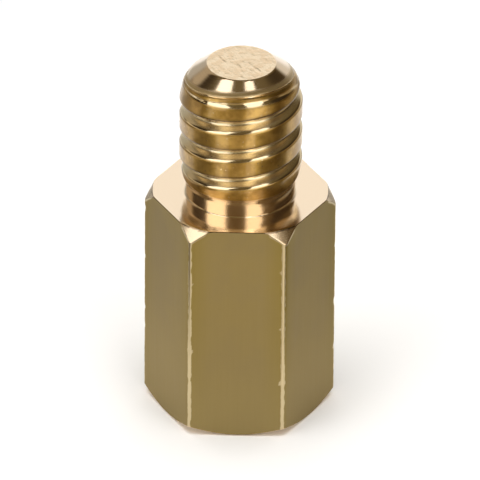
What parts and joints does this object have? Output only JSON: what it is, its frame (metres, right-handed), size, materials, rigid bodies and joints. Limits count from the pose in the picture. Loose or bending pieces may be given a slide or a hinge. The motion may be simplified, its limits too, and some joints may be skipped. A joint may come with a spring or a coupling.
{
  "type": "hex standoff",
  "caption": "Short male-female hex standoff in brass: hexagonal body with chamfered corners, threaded stud with a plain neck at one end and a blind tapped hole in the other.",
  "frame": {"origin": "centre of the tapped end's face, on the surface that the standoff stands on", "axes": "+Z along the axis, from the tapped end to the threaded stud; +X towards a long corner of the hexagon; +Y square to a flat"},
  "size_m": [0.0052, 0.0046, 0.0105],
  "materials": {
    "turned_brass": "satin drawn flats, bright turned stud and chamfers"
  },
  "bodies": {
    "root": {"standoff": "turned_brass"}
  },
  "joints": []
}
